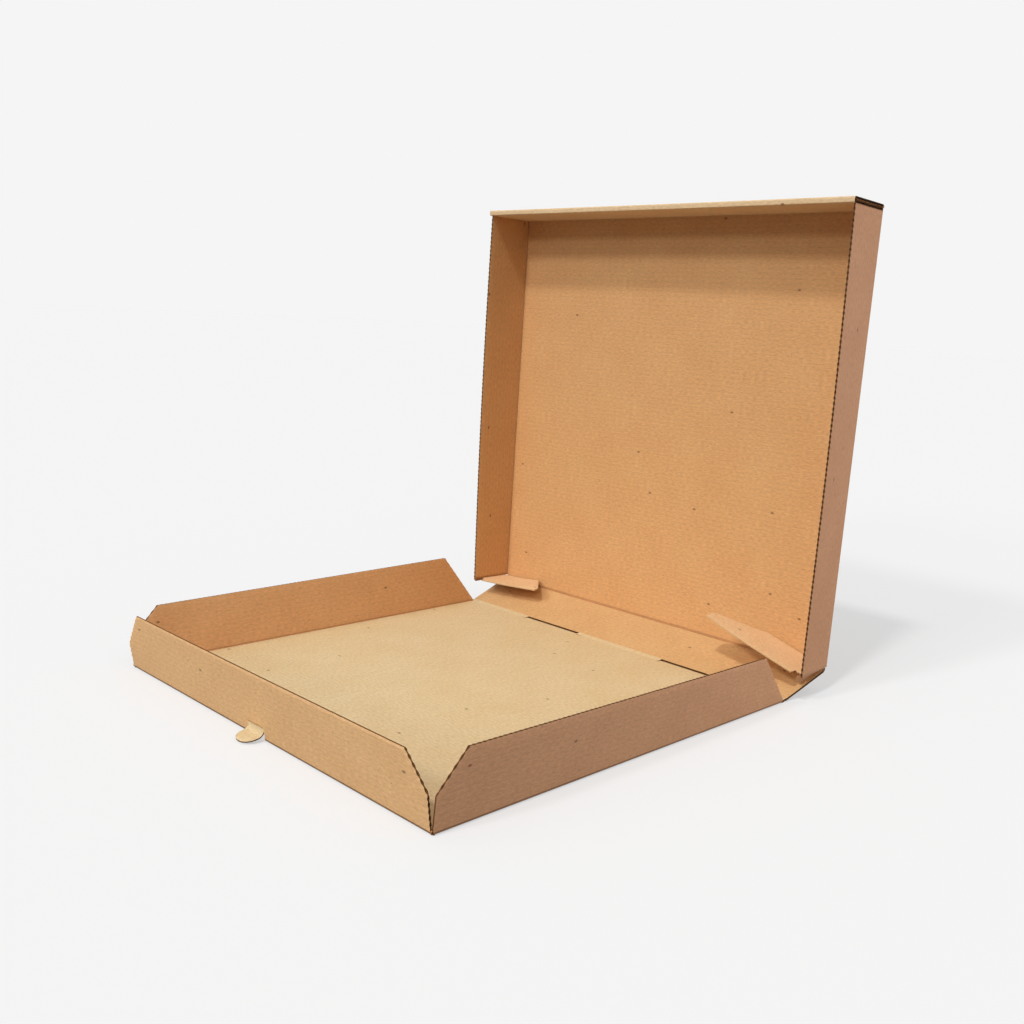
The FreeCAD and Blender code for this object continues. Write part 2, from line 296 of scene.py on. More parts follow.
@dataclass(frozen=True)
class RawCut:
    """Raw edge and inside of the board: torn brown fibre, painted darker than it is as the shade between
    the liners, and painted pale on the flaps as a highlight.
    """

    name: str
    base: str
    shade: str
    grain_size: float = 0.6
    grain_depth: float = 0.1
    roughness: float = 0.95

    def material(self) -> bpy.types.Material:
        """Build the raw paper's node material.

        Returns:
            The material.
        """
        material = blank_material(self.name)
        tree = material.node_tree
        place = add_node(tree, "TexCoord").outputs["Object"]
        grain = add_node(tree, "TexNoise",
                         {"Scale": 1 / (self.grain_size * MM), "Detail": 3.0}, {"Vector": place})
        colour = add_node(tree, "Mix",
                          {"data_type": "RGBA", 6: linear(self.base), 7: linear(self.shade)},
                          {0: grain.outputs["Fac"]})
        bump = add_node(tree, "Bump", {"Strength": 0.4, "Distance": self.grain_depth * MM},
                        {"Height": grain.outputs["Fac"]})
        shader = add_node(tree, "BsdfPrincipled",
                          {"Roughness": self.roughness, "Specular IOR Level": 0.15},
                          {"Base Color": colour.outputs[2], "Normal": bump})
        add_node(tree, "OutputMaterial", {}, {"Surface": shader})
        return material


# Linerboard of each panel, by its colour and the colour of its clouds: warm brown where the paper is plain.
# The other rows paint light and shade into that paper: ruddier outside the lid and the side walls, and
# darker at the folds and on the hinge wall, where shade falls; paler on the floor, the flaps and the roll's
# top, where light falls
# Outside of the side walls: the outside paper painted darker and ruddier, as shade on faces turned away
# from the lamps
LINERS = {"outside": ("EABB84", "E2B27C"), "outside_ruddy": ("CC976E", "C38E66"),
          # Inside of the floor, also on the thumb tab: painted paler than the walls' inside, as sheen on
          # the up-facing floor
          "floor": ("D3BC92", "CEB385"), "tray_walls": ("DCA975", "D4A06C"),
          # Tuck flaps: painted paler than the lid that they belong to, as the light on their upper faces
          "lid_inside": ("D2A06A", "CD9963"), "flap": ("E0BA8C", "D8AF80"),
          # Outer and inner faces of the folds: painted darker, as the shade that falls along each fold and
          # in the dark line at the walls' feet
          "creased": ("A0714A", "946742"), "fold_inside": ("AE7846", "A27040"),
          # Inside of the hinge wall: painted darker, as the shade under the lid and the tuck flaps
          # Outside of the lid: painted ruddy, as shade on the lid's side walls, which face away from the
          # lamps
          "hinge_wall": ("CDA26E", "C69965"), "lid_outside": ("BB8761", "B37F59"),
          # Outside of the rolled front: painted pale, as the highlight along its top
          "lid_front": ("DFC096", "D6B68B")}
# Raw board at a cut edge, which shows as a dark line between the liners, with its deeper tone; its brown is
# painted darker than the fibre, as the shade that falls into the flutes, and darkest at the roll's cut end
RAW_CUTS = {"medium": ("7E5836", "5C3C20"), "crushed": ("5A3A22", "3A2414"),
            # Raw edge of the tuck flaps: painted pale, as the highlight along their lit edges
            "pale": ("E0C294", "B98F5F")}


class Finish(Enum):
    """Papers of a piece: its outside, its inside and its raw edge."""

    FLOOR = ("outside", "floor", "medium")
    FRONT = ("outside", "tray_walls", "medium")
    SIDES = ("outside_ruddy", "tray_walls", "medium")
    LID = ("lid_outside", "lid_inside", "medium")
    FLAP = ("flap", "flap", "pale")
    HINGE = ("outside", "hinge_wall", "medium")
    ROLL = ("lid_front", "lid_inside", "crushed")
    TAB = ("floor", "floor", "medium")
    REAR_CREASE = ("creased", "floor", "medium")
    CREASE = ("creased", "fold_inside", "medium")
    LID_CREASE = ("lid_outside", "fold_inside", "medium")
    BEAD = ("creased", "creased", "creased")

    def materials(self) -> list[bpy.types.Material]:
        """Find the finish's materials, and mix those that no piece has had yet.

        Returns:
            Materials in the order of Layer.
        """
        found = []
        for paper in self.value:
            is_liner = paper in LINERS
            name = ("kraft_liner_" if is_liner else "raw_kraft_") + paper
            material = bpy.data.materials.get(name)
            if material is None:
                kind, rows = (KraftLiner, LINERS) if is_liner else (RawCut, RAW_CUTS)
                material = kind(name, *rows[paper]).material()
            found.append(material)
        return found


@dataclass(frozen=True)
class Corner:
    """Corner of an outline, and whether the edge that leaves it is cut or folded."""

    x: float
    y: float
    cut: bool = True


@dataclass(frozen=True)
class WallEnd:
    """Bevelled end of a wall: where it starts, where the bevel starts and tops, and its height.

    The lengths run from the floor's corner along the wall, the heights up from the crease.
    """

    cut_back: float
    bevel_foot: float
    bevel_top: float
    height: float


def keep(point: Vector) -> Vector:
    """Warp that leaves a point where it is."""
    return point


def is_inside(point: Vector, corners: Sequence[Corner]) -> bool:
    """Tell whether a point lies inside an outline, by counting crossings.

    Args:
        point: Point in the flat sheet.
        corners: Outline.

    Returns:
        True for a point inside.
    """
    odd = False
    for index, first in enumerate(corners):
        second = corners[index - 1]
        if (first.y > point.y) != (second.y > point.y):
            share = (point.y - first.y) / (second.y - first.y)
            if point.x < first.x + share * (second.x - first.x):
                odd = not odd
    return odd


def distance_to_edge(point: Vector, first: Corner, second: Corner) -> float:
    """Measure from a point to one edge of an outline.

    Args:
        point: Point in the flat sheet.
        first: Start of the edge.
        second: End of the edge.

    Returns:
        The distance in the sheet.
    """
    start = Vector((first.x, first.y))
    along = Vector((second.x, second.y)) - start
    share = (Vector((point.x, point.y)) - start).dot(along) / along.length_squared
    return (Vector((point.x, point.y)) - start - along * min(1.0, max(0.0, share))).length


def gridded(corners: Sequence[Corner], cell: tuple[float, float]) -> bmesh.types.BMesh:
    """Lay a grid over an outline, cut it to the outline, and score it beside the cut edges.

    Args:
        corners: Outline in the flat sheet, anticlockwise.
        cell: Size of a grid cell across and up.

    Returns:
        A flat sheet.
    """
    low = Vector((min(corner.x for corner in corners), min(corner.y for corner in corners), 0))
    high = Vector((max(corner.x for corner in corners), max(corner.y for corner in corners), 0))
    size = high - low
    sheet = bmesh.new()
    bmesh.ops.create_grid(sheet, x_segments=max(1, math.ceil(size.x / cell[0])),
                          y_segments=max(1, math.ceil(size.y / cell[1])), size=0.5)
    bmesh.ops.scale(sheet, vec=(size.x, size.y, 1), verts=sheet.verts)
    bmesh.ops.translate(sheet, vec=(low + high) / 2, verts=sheet.verts)
    for index, first in enumerate(corners):
        second = corners[(index + 1) % len(corners)]
        side = Vector((second.y - first.y, first.x - second.x, 0))
        offsets = (0.0, BOARD.press_reach) if first.cut else (0.0,)
        for offset in offsets:
            start = Vector((first.x, first.y, 0)) - side.normalized() * offset
            bmesh.ops.bisect_plane(sheet, geom=sheet.verts[:] + sheet.edges[:] + sheet.faces[:],
                                   plane_co=start, plane_no=side, dist=1e-4)
    outside = [face for face in sheet.faces if not is_inside(face.calc_center_median(), corners)]
    bmesh.ops.delete(sheet, geom=outside, context="FACES")
    return sheet


def thicken(sheet: bmesh.types.BMesh, height: float) -> None:
    """Give a sheet its thickness along z and close it.

    Args:
        sheet: Open sheet.
        height: Thickness.
    """
    solid = bmesh.ops.extrude_face_region(sheet, geom=sheet.faces[:], use_keep_orig=True)
    top = [item for item in solid["geom"] if isinstance(item, bmesh.types.BMVert)]
    bmesh.ops.translate(sheet, vec=(0, 0, height), verts=top)
    bmesh.ops.recalc_face_normals(sheet, faces=sheet.faces[:])


def absorb(target: bmesh.types.BMesh, part: bmesh.types.BMesh) -> None:
    """Add one mesh to another and free it.

    Args:
        target: Mesh that grows.
        part: Mesh that is used up.
    """
    mesh = bpy.data.meshes.new("part")
    part.to_mesh(mesh)
    target.from_mesh(mesh)
    part.free()
    bpy.data.meshes.remove(mesh)


def finish_mesh(name: str, mesh: bmesh.types.BMesh, warp: Warp, place: Matrix,
                finish: Finish) -> bpy.types.Object:
    """Store the flat sheet's coordinates, bend the mesh and put it in its place.

    Args:
        name: Name of the piece.
        mesh: Mesh in the flat sheet.
        warp: Bend of the flat sheet.
        place: From the bent sheet to the box.
        finish: Papers of the piece.

    Returns:
        The finished object, with its place in its mesh.
    """
    sheet = mesh.loops.layers.uv.new("sheet")
    for face in mesh.faces:
        for loop in face.loops:
            loop[sheet].uv = (loop.vert.co.x * MM, loop.vert.co.y * MM)
    for vert in mesh.verts:
        vert.co = place @ warp(vert.co.copy())
    bmesh.ops.recalc_face_normals(mesh, faces=mesh.faces[:])
    for face in mesh.faces:
        face.smooth = True
    for edge in mesh.edges:
        edge.smooth = edge.calc_face_angle(math.pi) < SHARP
    data = bpy.data.meshes.new(name)
    mesh.to_mesh(data)
    mesh.free()
    for material in finish.materials():
        data.materials.append(material)
    piece = bpy.data.objects.new(name, data)
    bpy.context.collection.objects.link(piece)
    return piece


def attach(piece: bpy.types.Object, body: str, node: str) -> None:
    """Tie a piece to the body that it moves with and the node that it stands for.

    Args:
        piece: Finished piece.
        body: Body that carries it.
        node: Node that it replaces.
    """
    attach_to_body(piece, body)
    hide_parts(node)


@dataclass
class Panel:
    """One flat piece of board, bounded by cut edges and folds."""

    name: str
    body: str
    node: str
    slot: Slot
    place: Matrix
    corners: Sequence[Corner]
    inner_corners: Sequence[Corner]
    finish: Finish
    warp: Warp = keep
    cell: tuple[float, float] = (12.0, 12.0)
    flutes: Flutes = Flutes.ALONG
    press: float = BOARD.press
    rippled: bool = True

    def cut_edges(self) -> list[tuple[Corner, Corner]]:
        """List the cut edges of the panel.

        Returns:
            Both corners of each edge.
        """
        count = len(self.inner_corners)
        return [(corner, self.inner_corners[(index + 1) % count])
                for index, corner in enumerate(self.inner_corners) if corner.cut]

    def phase(self, point: Vector) -> float:
        """Angle of the fluted wave at a point."""
        across = point.y if self.flutes is Flutes.ALONG else point.x
        return math.tau * across / BOARD.pitch

    def pressed(self, point: Vector) -> float:
        """Measure how far the cutting rule pressed each liner in.

        Flutes that run into the edge hold it open, so it closes only between them.

        Args:
            point: Point in the flat sheet.

        Returns:
            Depth of the press, which fades out away from the cut edges.
        """
        most = 0.0
        for first, second in self.cut_edges():
            share = 1 - distance_to_edge(point, first, second) / BOARD.press_reach
            if share <= 0:
                continue
            run, rise = abs(second.x - first.x), abs(second.y - first.y)
            crossing = rise if self.flutes is Flutes.ALONG else run
            if self.rippled and crossing > BOARD.least_crossing * math.hypot(run, rise):
                share *= BOARD.press_swing * (0.5 + 0.5 * math.cos(self.phase(point)))
            most = max(most, share * self.press)
        return most

    def liner(self, layer: Layer) -> bmesh.types.BMesh:
        """Make one liner.

        Args:
            layer: Which of the two liners.

        Returns:
            A closed thin sheet, with raw paper on its edges and the face that meets the medium.
        """
        outside = layer is Layer.OUTSIDE
        sheet = gridded(self.corners if outside else self.inner_corners, self.cell)
        for vert in sheet.verts:
            press = self.pressed(vert.co)
            vert.co.z = press if outside else BOARD.thickness - BOARD.liner - press
        thicken(sheet, BOARD.liner)
        outwards = -1 if outside else 1
        for face in sheet.faces:
            shown = face.normal.z * outwards > 0.5
            face.material_index = (layer if shown else Layer.RAW).value
        return sheet

    def medium(self) -> bmesh.types.BMesh:
        """Make the fluted medium in a band along the cut edges.

        Returns:
            A closed wavy sheet.
        """
        fine = (15.0, BOARD.step) if self.flutes is Flutes.ALONG else (BOARD.step, 15.0)
        sheet = gridded(self.inner_corners, fine)
        deep = []
        for face in sheet.faces:
            places = [vert.co for vert in face.verts] + [face.calc_center_median()]
            reach = min((distance_to_edge(place, *edge) for place in places
                         for edge in self.cut_edges()), default=math.inf)
            if reach > BOARD.band:
                deep.append(face)
        bmesh.ops.delete(sheet, geom=deep, context="FACES")
        for vert in sheet.verts:
            height = (BOARD.room - BOARD.medium) / 2
            height -= min(height, self.pressed(vert.co))
            vert.co.z = (BOARD.thickness - BOARD.medium) / 2 - height * math.cos(self.phase(vert.co))
        if sheet.faces:
            thicken(sheet, BOARD.medium)
        for face in sheet.faces:
            face.material_index = Layer.RAW.value
        return sheet

    def build(self) -> bpy.types.Object:
        """Build the panel and hang it on its body.

        Returns:
            The finished piece.
        """
        mesh = bmesh.new()
        absorb(mesh, self.liner(Layer.OUTSIDE))
        absorb(mesh, self.liner(Layer.INSIDE))
        absorb(mesh, self.medium())
        piece = finish_mesh(self.name, mesh, self.warp, self.place, self.finish)
        attach(piece, self.body, self.node)
        LOG.info("%s: %d faces", self.name, len(piece.data.polygons))
        return piece


@dataclass
class Crease:
    """Bead of pressed board along a fold, between a panel and the one that it carries.

    Its frame has the carrier's board on the -y side of the crease, with z through the
    carrier's thickness, and the fold turns the carried panel up about x.
    """

    name: str
    bodies: tuple[str, ...]
    node: str
    slot: Slot
    place: Matrix
    fold: float
    spans: Sequence[tuple[float, float]]
    finish: Finish
    ridge: float = 0.0
    warp: Warp = keep
    step: float = 10.0
    arc_steps: int = 4
    turn_width: float = 0.14

    def section(self) -> list[Vector]:
        """Outline of the bead across the crease.

        Returns:
            Points in the crease's y and z, round the section.
        """
        angle = math.radians(self.fold)
        along = Vector((0, math.cos(angle), math.sin(angle)))
        through = Vector((0, -math.sin(angle), math.cos(angle)))
        start = Vector((0, -OUTER_SETBACK, 0))
        end = along * OUTER_SETBACK
        outer = []
        for index in range(self.arc_steps + 1):
            share = index / self.arc_steps
            outer.append(start * (1 - share) ** 2 + end * share ** 2)
        inner_end = along * INNER_SETBACK + through * BOARD.thickness
        inner_start = Vector((0, -INNER_SETBACK, BOARD.thickness))
        upward = Vector((0, -math.sin(angle / 2), math.cos(angle / 2)))
        crest = (inner_start + inner_end) / 2 + upward * self.ridge
        return outer + [inner_end, crest, inner_start]

    def across(self) -> Vector:
        """Half of the way over the crease, along which the bead passes to the other body."""
        half = math.radians(self.fold / 2)
        return Vector((0, math.cos(half), math.sin(half))) * self.turn_width

    def build(self) -> bpy.types.Object:
        """Build the bead, and hang it on its body when it has only one; a bead between two bodies stays
        where it is built.

        Returns:
            The finished piece.
        """
        mesh = bmesh.new()
        for low, high in self.spans:
            part = bmesh.new()
            verts = [part.verts.new(point + Vector((low, 0, 0))) for point in self.section()]
            part.faces.new(verts)
            count = max(1, round((high - low) / self.step))
            bmesh.ops.spin(part, geom=part.faces[:] + part.edges[:] + part.verts[:], cent=(0, 0, 0),
                           axis=(1, 0, 0), angle=0, dvec=((high - low) / count, 0, 0), steps=count)
            bmesh.ops.remove_doubles(part, verts=part.verts, dist=1e-4)
            absorb(mesh, part)
        bmesh.ops.holes_fill(mesh, edges=[edge for edge in mesh.edges if edge.is_boundary])
        bmesh.ops.recalc_face_normals(mesh, faces=mesh.faces[:])
        facing = Vector((0, -math.sin(math.radians(self.fold / 2)), math.cos(math.radians(self.fold / 2))))
        for face in mesh.faces:
            layer = Layer.INSIDE if face.normal.dot(facing) > 0 else Layer.OUTSIDE
            face.material_index = (Layer.RAW if abs(face.normal.x) > 0.9 else layer).value
        piece = finish_mesh(self.name, mesh, self.warp, self.place, self.finish)
        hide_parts(self.node)
        if len(self.bodies) == 1:
            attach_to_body(piece, self.bodies[0])
        else:
            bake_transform(piece)
        LOG.info("%s: %d faces", self.name, len(piece.data.polygons))
        return piece


@dataclass
class WrappedCrease(Crease):
    """Bead of board that wraps round a fold on its inner faces.

    Its frame's x runs along the fold, y points out through the carrier's board, and the
    board turns from y towards -z.
    """

    def section(self) -> list[Vector]:
        """Outline of the bead: the axis of the fold, and an arc round it.

        Returns:
            Points in the crease's y and z, round the section.
        """
        turns = [math.radians(self.fold) * index / self.arc_steps for index in range(self.arc_steps + 1)]
        arc = [Vector((0, math.cos(turn), -math.sin(turn))) * BOARD.thickness for turn in turns]
        return [Vector((0, 0, 0))] + arc

    def across(self) -> Vector:
        """Half of the way over the crease, along which the bead passes to the other body."""
        half = math.radians(self.fold / 2)
        return Vector((0, -math.sin(half), -math.cos(half))) * BOARD.thickness * math.sin(half)


def crease_frame(x: float, y: float, yaw: float) -> Matrix:
    """Frame of a crease on the floor's edge.

    Args:
        x: Place of the crease along X, in millimetres.
        y: Place of the crease along Y, in millimetres.
        yaw: Turn of the crease about Z, in degrees.

    Returns:
        From millimetres at the crease to metres in the box.
    """
    turn = Matrix.Rotation(math.radians(yaw), 4, "Z")
    return Matrix.Scale(MM, 4) @ Matrix.Translation((x, y, 0)) @ turn


def folded(carrier: Matrix, fold: float) -> Matrix:
    """Frame of a panel that is folded up at its carrier's crease.

    Args:
        carrier: Frame of the crease.
        fold: Angle of the fold, in degrees.

    Returns:
        The panel's own frame.
    """
    return carrier @ Matrix.Rotation(math.radians(fold), 4, "X")


FLOOR_FRAME = Matrix.Scale(MM, 4)
FRONT_CREASE = crease_frame(0, -SIZES.half_depth, 180)
LEFT_CREASE = crease_frame(-SIZES.half_width, 0, 90)
RIGHT_CREASE = crease_frame(SIZES.half_width, 0, -90)
BACK_CREASE = crease_frame(0, SIZES.half_depth, 0)
BACK_FRAME = folded(BACK_CREASE, SIZES.back_tilt)
LID_CREASE = BACK_FRAME @ Matrix.Translation((0, SIZES.back_height, 0))
LID_FOLD = 90 - SIZES.lid_lean - SIZES.back_tilt
LID_FRAME = folded(LID_CREASE, LID_FOLD)


@dataclass
class Tray:
    """Floor panel and its three splayed walls, with the thumb tab."""

    front_ends: tuple[WallEnd, WallEnd] = (WallEnd(1.85, 21.3, 16.4, 40.6),
                                           WallEnd(1.85, 17.7, 16.4, 39.6))
    left_ends: tuple[WallEnd, WallEnd] = (WallEnd(0.3, 20.5, 18.2, 38.9),
                                          WallEnd(1.85, 2.6, 32.5, 41.2))
    right_ends: tuple[WallEnd, WallEnd] = (WallEnd(1.85, 2.6, 32.5, 37.2),
                                           WallEnd(0.3, 20.5, 18.2, 41.6))
    bead_end: float = 0.6
    bead_corner: float = 1.2
    thumb_centre: float = 0.0
    thumb_half: float = 8.0
    thumb_rise: float = 8.0
    thumb_bend: float = 4.0
    thumb_length: float = 12.0
    thumb_tip: float = 6.5
    thumb_droop: float = 0.512
    thumb_press: float = 0.45
    front_bow: float = 0.5
    end_bulge: float = 1.0
    side_bow: float = 0.3
    play: float = 0.05
    slit_half: float = 27.5
    slit_gap: float = 0.35
    left_slit: float = -59.0
    right_slit: float = 77.0
    arc_steps: int = 8

    def notch(self, inset: float) -> list[Corner]:
        """Rounded hole in the floor's front edge that the thumb tab leaves.

        Args:
            inset: Distance of the floor's edge from the crease.

        Returns:
            Corners from left to right along the front edge.
        """
        blank = (self.thumb_bend + BOARD.thickness / 2) * math.pi / 2
        blank += self.thumb_length - self.thumb_bend - self.thumb_rise
        radius = self.thumb_half + self.play
        centre = -SIZES.half_depth + blank - radius
        front = -SIZES.half_depth + inset
        rise = front - centre
        reach = math.sqrt(radius ** 2 - rise ** 2)
        start = math.atan2(rise, reach)
        corners = []
        for index in range(self.arc_steps + 1):
            angle = math.pi - start - (math.pi - 2 * start) * index / self.arc_steps
            corners.append(Corner(self.thumb_centre + radius * math.cos(angle),
                                  centre + radius * math.sin(angle)))
        corners[-1] = Corner(self.thumb_centre + reach, front, cut=False)
        return corners

    def slits(self) -> list[tuple[float, float]]:
        """Ends of the two slits in the rear crease, from left to right."""
        return [(centre - self.slit_half, centre + self.slit_half)
                for centre in (self.left_slit, self.right_slit)]

    def floor_corners(self, inset: float) -> list[Corner]:
        """Outline of the floor with its notch and slits.

        Args:
            inset: Distance of the folded edges from the creases.

        Returns:
            Corners, anticlockwise from the front left.
        """
        side = SIZES.half_width - inset
        rear = SIZES.half_depth - inset
        slot = SIZES.half_depth - self.slit_gap
        corners = [Corner(-side, -rear, cut=False)] + self.notch(inset)
        corners += [Corner(side, -rear, cut=False), Corner(side, rear, cut=False)]
        for left, right in reversed(self.slits()):
            corners += [Corner(right, rear), Corner(right, slot), Corner(left, slot),
                        Corner(left, rear, cut=False)]
        corners.append(Corner(-side, rear, cut=False))
        return corners

    def build_floor(self) -> None:
        """Build the floor."""
        Panel("floor_board", "floor", "floor_panel", Slot.TRAY, FLOOR_FRAME,
              self.floor_corners(OUTER_SETBACK), self.floor_corners(INNER_SETBACK),
              Finish.FLOOR).build()

    def wall_corners(self, setback: float, ends: tuple[WallEnd, WallEnd]) -> list[Corner]:
        """Outline of a wall with bevelled ends.

        Args:
            setback: Distance of the folded edge from the crease.
            ends: Its ends at low and at high x.

        Returns:
            Corners, anticlockwise from the foot at low x.
        """
        half = SIZES.half_width
        low, high = ends
        return [Corner(-half + low.cut_back, setback, cut=False),
                Corner(half - high.cut_back, setback),
                Corner(half - high.cut_back, high.bevel_foot),
                Corner(half - high.bevel_top, high.height),
                Corner(-half + low.bevel_top, low.height),
                Corner(-half + low.cut_back, low.bevel_foot)]

    def front_warp(self, point: Vector) -> Vector:
        """Bow the front wall's top edge outwards and let its left end bulge.

        Args:
            point: Point in the flat sheet.

        Returns:
            The bent point.
        """
        rise = max(0.0, point.y) / SIZES.wall_height
        across = point.x / SIZES.half_width
        bow = -self.front_bow * rise * math.cos(across * math.pi / 2)
        towards_end = max(0.0, 2 * across - 1)
        bulge = -self.end_bulge * math.sin(math.pi * min(1.0, rise)) * towards_end ** 2
        return Vector((point.x, point.y, point.z + bow + bulge))

    def build_front(self) -> None:
        """Build the front wall, with the thumb tab's opening cut into its foot."""
        radius = self.thumb_half + self.play
        middle = -self.thumb_centre
        outlines = []
        for setback in (OUTER_SETBACK, INNER_SETBACK):
            corners = self.wall_corners(setback, self.front_ends)
            corners[1:1] = [Corner(middle - radius, setback), Corner(middle - radius, self.thumb_rise),
                            Corner(middle + radius, self.thumb_rise),
                            Corner(middle + radius, setback, cut=False)]
            outlines.append(corners)
        Panel("front_wall_board", "front_wall", "front_wall", Slot.TRAY,
              folded(FRONT_CREASE, 90 - SIZES.front_splay), outlines[0], outlines[1],
              Finish.FRONT, self.front_warp, cell=(8.0, BOARD.step)).build()

    def tab_warp(self, point: Vector) -> Vector:
        """Curl the thumb tab outwards from the foot of the wall.

        Args:
            point: Point in the flat tab, whose y runs from its root in the wall to its tip.

        Returns:
            The bent point.
        """
        radius = self.thumb_bend + BOARD.thickness
        quarter = radius * math.pi / 2
        turn = min(point.y, quarter) / radius
        arm = self.thumb_bend + point.z
        height = self.thumb_rise - arm * math.sin(turn)
        out = arm * math.cos(turn) - self.thumb_bend
        straight = max(0.0, point.y - quarter)
        droop = self.thumb_droop * (straight / (self.thumb_length - self.thumb_bend)) ** 2
        return Vector((point.x, height - droop, out - straight))

    def build_tab(self) -> None:
        """Build the thumb tab as a tongue with a round tip."""
        radius = self.thumb_bend + BOARD.thickness
        reach = radius * math.pi / 2 + self.thumb_length - self.thumb_bend
        middle = -self.thumb_centre
        corners = [Corner(middle - self.thumb_half, 0.0, cut=False),
                   Corner(middle + self.thumb_half, 0.0)]
        for index in range(self.arc_steps + 1):
            angle = math.pi * index / self.arc_steps
            corners.append(Corner(middle + self.thumb_half * math.cos(angle),
                                  reach - self.thumb_tip + self.thumb_tip * math.sin(angle)))
        Panel("thumb_tab", "front_wall", "front_wall", Slot.TRAY,
              folded(FRONT_CREASE, 90 - SIZES.front_splay), corners, corners,
              Finish.TAB, self.tab_warp, cell=(4.0, 1.0), press=self.thumb_press, rippled=False).build()

    def side_warp(self, point: Vector) -> Vector:
        """Bow a side wall's top edge a little outwards.

        Args:
            point: Point in the flat sheet.

        Returns:
            The bent point.
        """
        rise = max(0.0, point.y) / SIZES.wall_height
        bow = -self.side_bow * rise * math.cos(point.x / SIZES.half_width * math.pi / 2)
        return Vector((point.x, point.y, point.z + bow))

    def build_sides(self) -> None:
        """Build the left and right walls."""
        walls = (("left_wall", LEFT_CREASE, SIZES.left_splay, self.left_ends),
                 ("right_wall", RIGHT_CREASE, SIZES.right_splay, self.right_ends))
        for name, crease, splay, ends in walls:
            Panel(name + "_board", name, name, Slot.TRAY, folded(crease, 90 - splay),
                  self.wall_corners(OUTER_SETBACK, ends), self.wall_corners(INNER_SETBACK, ends),
                  Finish.SIDES, self.side_warp, (BOARD.step, 8.0), Flutes.UP).build()

    def build_creases(self) -> None:
        """Build the beads along the three walls' folds."""
        end = SIZES.half_width - self.bead_end
        rear = end - self.bead_corner
        radius = self.thumb_half + self.play
        middle = -self.thumb_centre
        rows = (("front", FRONT_CREASE, SIZES.front_splay,
                 [(-end, middle - radius), (middle + radius, end)]),
                ("left", LEFT_CREASE, SIZES.left_splay, [(-end, rear)]),
                ("right", RIGHT_CREASE, SIZES.right_splay, [(-rear, end)]))
        for side, place, splay, spans in rows:
            Crease(side + "_fold", ("floor", side + "_wall"), side + "_wall", Slot.TRAY, place,
                   90 - splay, spans, Finish.CREASE).build()

    def build(self) -> None:
        """Build every piece of the tray."""
        self.build_floor()
        self.build_front()
        self.build_tab()
        self.build_sides()
        self.build_creases()


@dataclass
class BackWall:
    """Hinge wall between the floor and the lid, with its slits and crumpled ends."""

    tray: Tray
    slit_room: float = 1.75
    bead_end: float = 0.4
    lid_bead_end: float = 0.2
    # Centre along the wall, half width and depth of each crumpled patch
    crumples: tuple[tuple[float, float, float], ...] = ((104.0, 26.0, 1.5), (-126.0, 18.0, 1.1))
    crumple_height: float = 24.0
    crumple_rise: float = 13.0
    fold_pitch: tuple[float, float] = (5.1, 7.3)
    ripple_pitch: tuple[float, float] = (8.3, 3.7)
    ripple_share: float = 0.4
    dent_centre: float = 74.0
    dent_size: tuple[float, float] = (8.0, 6.0)
    dent_depth: float = 2.2
    fade_foot: float = 6.0
    fade_top: float = 8.0
    deepest: float = 1.4

    def corners(self, setback: float, slot: float) -> list[Corner]:
        """Outline of the back wall.

        Args:
            setback: Distance of its folded edges from the creases.
            slot: Distance of its cut edges at the slits from the crease.

        Returns:
            Corners, anticlockwise from the foot on the left.
        """
        foot = SIZES.half_width
        top = SIZES.half_width + SIZES.back_flare
        high = SIZES.back_height - setback
        corners = [Corner(-foot, setback, cut=False)]
        for left, right in self.tray.slits():
            corners += [Corner(left, setback), Corner(left, slot), Corner(right, slot),
                        Corner(right, setback, cut=False)]
        corners += [Corner(foot, setback), Corner(top, high, cut=False), Corner(-top, high)]
        return corners

    def warp(self, point: Vector) -> Vector:
        """Crumple both ends, the right one more, and dent the wall beside it.

        Neither is deeper than the board is thick, so that the wall can lie flat on a table.

        Args:
            point: Point in the flat sheet.

        Returns:
            The point, pushed out of the box.
        """
        up = point.y - self.crumple_height
        folds = -abs(math.sin(point.x / self.fold_pitch[0] + point.y / self.fold_pitch[1]))
        ripple = math.sin(point.y / self.ripple_pitch[1] - point.x / self.ripple_pitch[0]) - 1.0
        crumple = 0.0
        for centre, width, depth in self.crumples:
            spread = math.exp(-((point.x - centre) / width) ** 2 - (up / self.crumple_rise) ** 2)
            crumple += depth * spread * (folds + self.ripple_share * ripple)
        width, rise = self.dent_size
        across = (point.x - self.dent_centre) / width
        dent = -self.dent_depth * math.exp(-across ** 2 - (up / rise) ** 2)
        fade = min(1.0, max(0.0, (SIZES.back_height - point.y) / self.fade_top))
        fade *= min(1.0, point.y / self.fade_foot)
        sunk = self.deepest * (1 - math.exp((crumple + dent) * fade / self.deepest))
        return Vector((point.x, point.y, point.z - sunk))

    def build(self) -> None:
        """Build the back wall and the beads along its two folds."""
        Panel("back_wall_board", "back_wall", "back_wall", Slot.TRAY, BACK_FRAME,
              self.corners(OUTER_SETBACK, self.tray.slit_gap),
              self.corners(INNER_SETBACK, self.slit_room), Finish.HINGE, self.warp,
              cell=(3.0, 3.0), press=0.0).build()
        left, right = self.tray.slits()
        end = SIZES.half_width - self.bead_end
        Crease("rear_fold", ("floor", "back_wall"), "back_wall", Slot.TRAY, BACK_CREASE,
               SIZES.back_tilt, [(-end, left[0]), (left[1], right[0]), (right[1], end)],
               Finish.REAR_CREASE, ridge=0.12).build()
        wide = SIZES.half_width + SIZES.back_flare - self.lid_bead_end
        Crease("lid_fold", ("back_wall", "lid"), "lid", Slot.LID, LID_CREASE, LID_FOLD,
               [(-wide, wide)], Finish.CREASE).build()


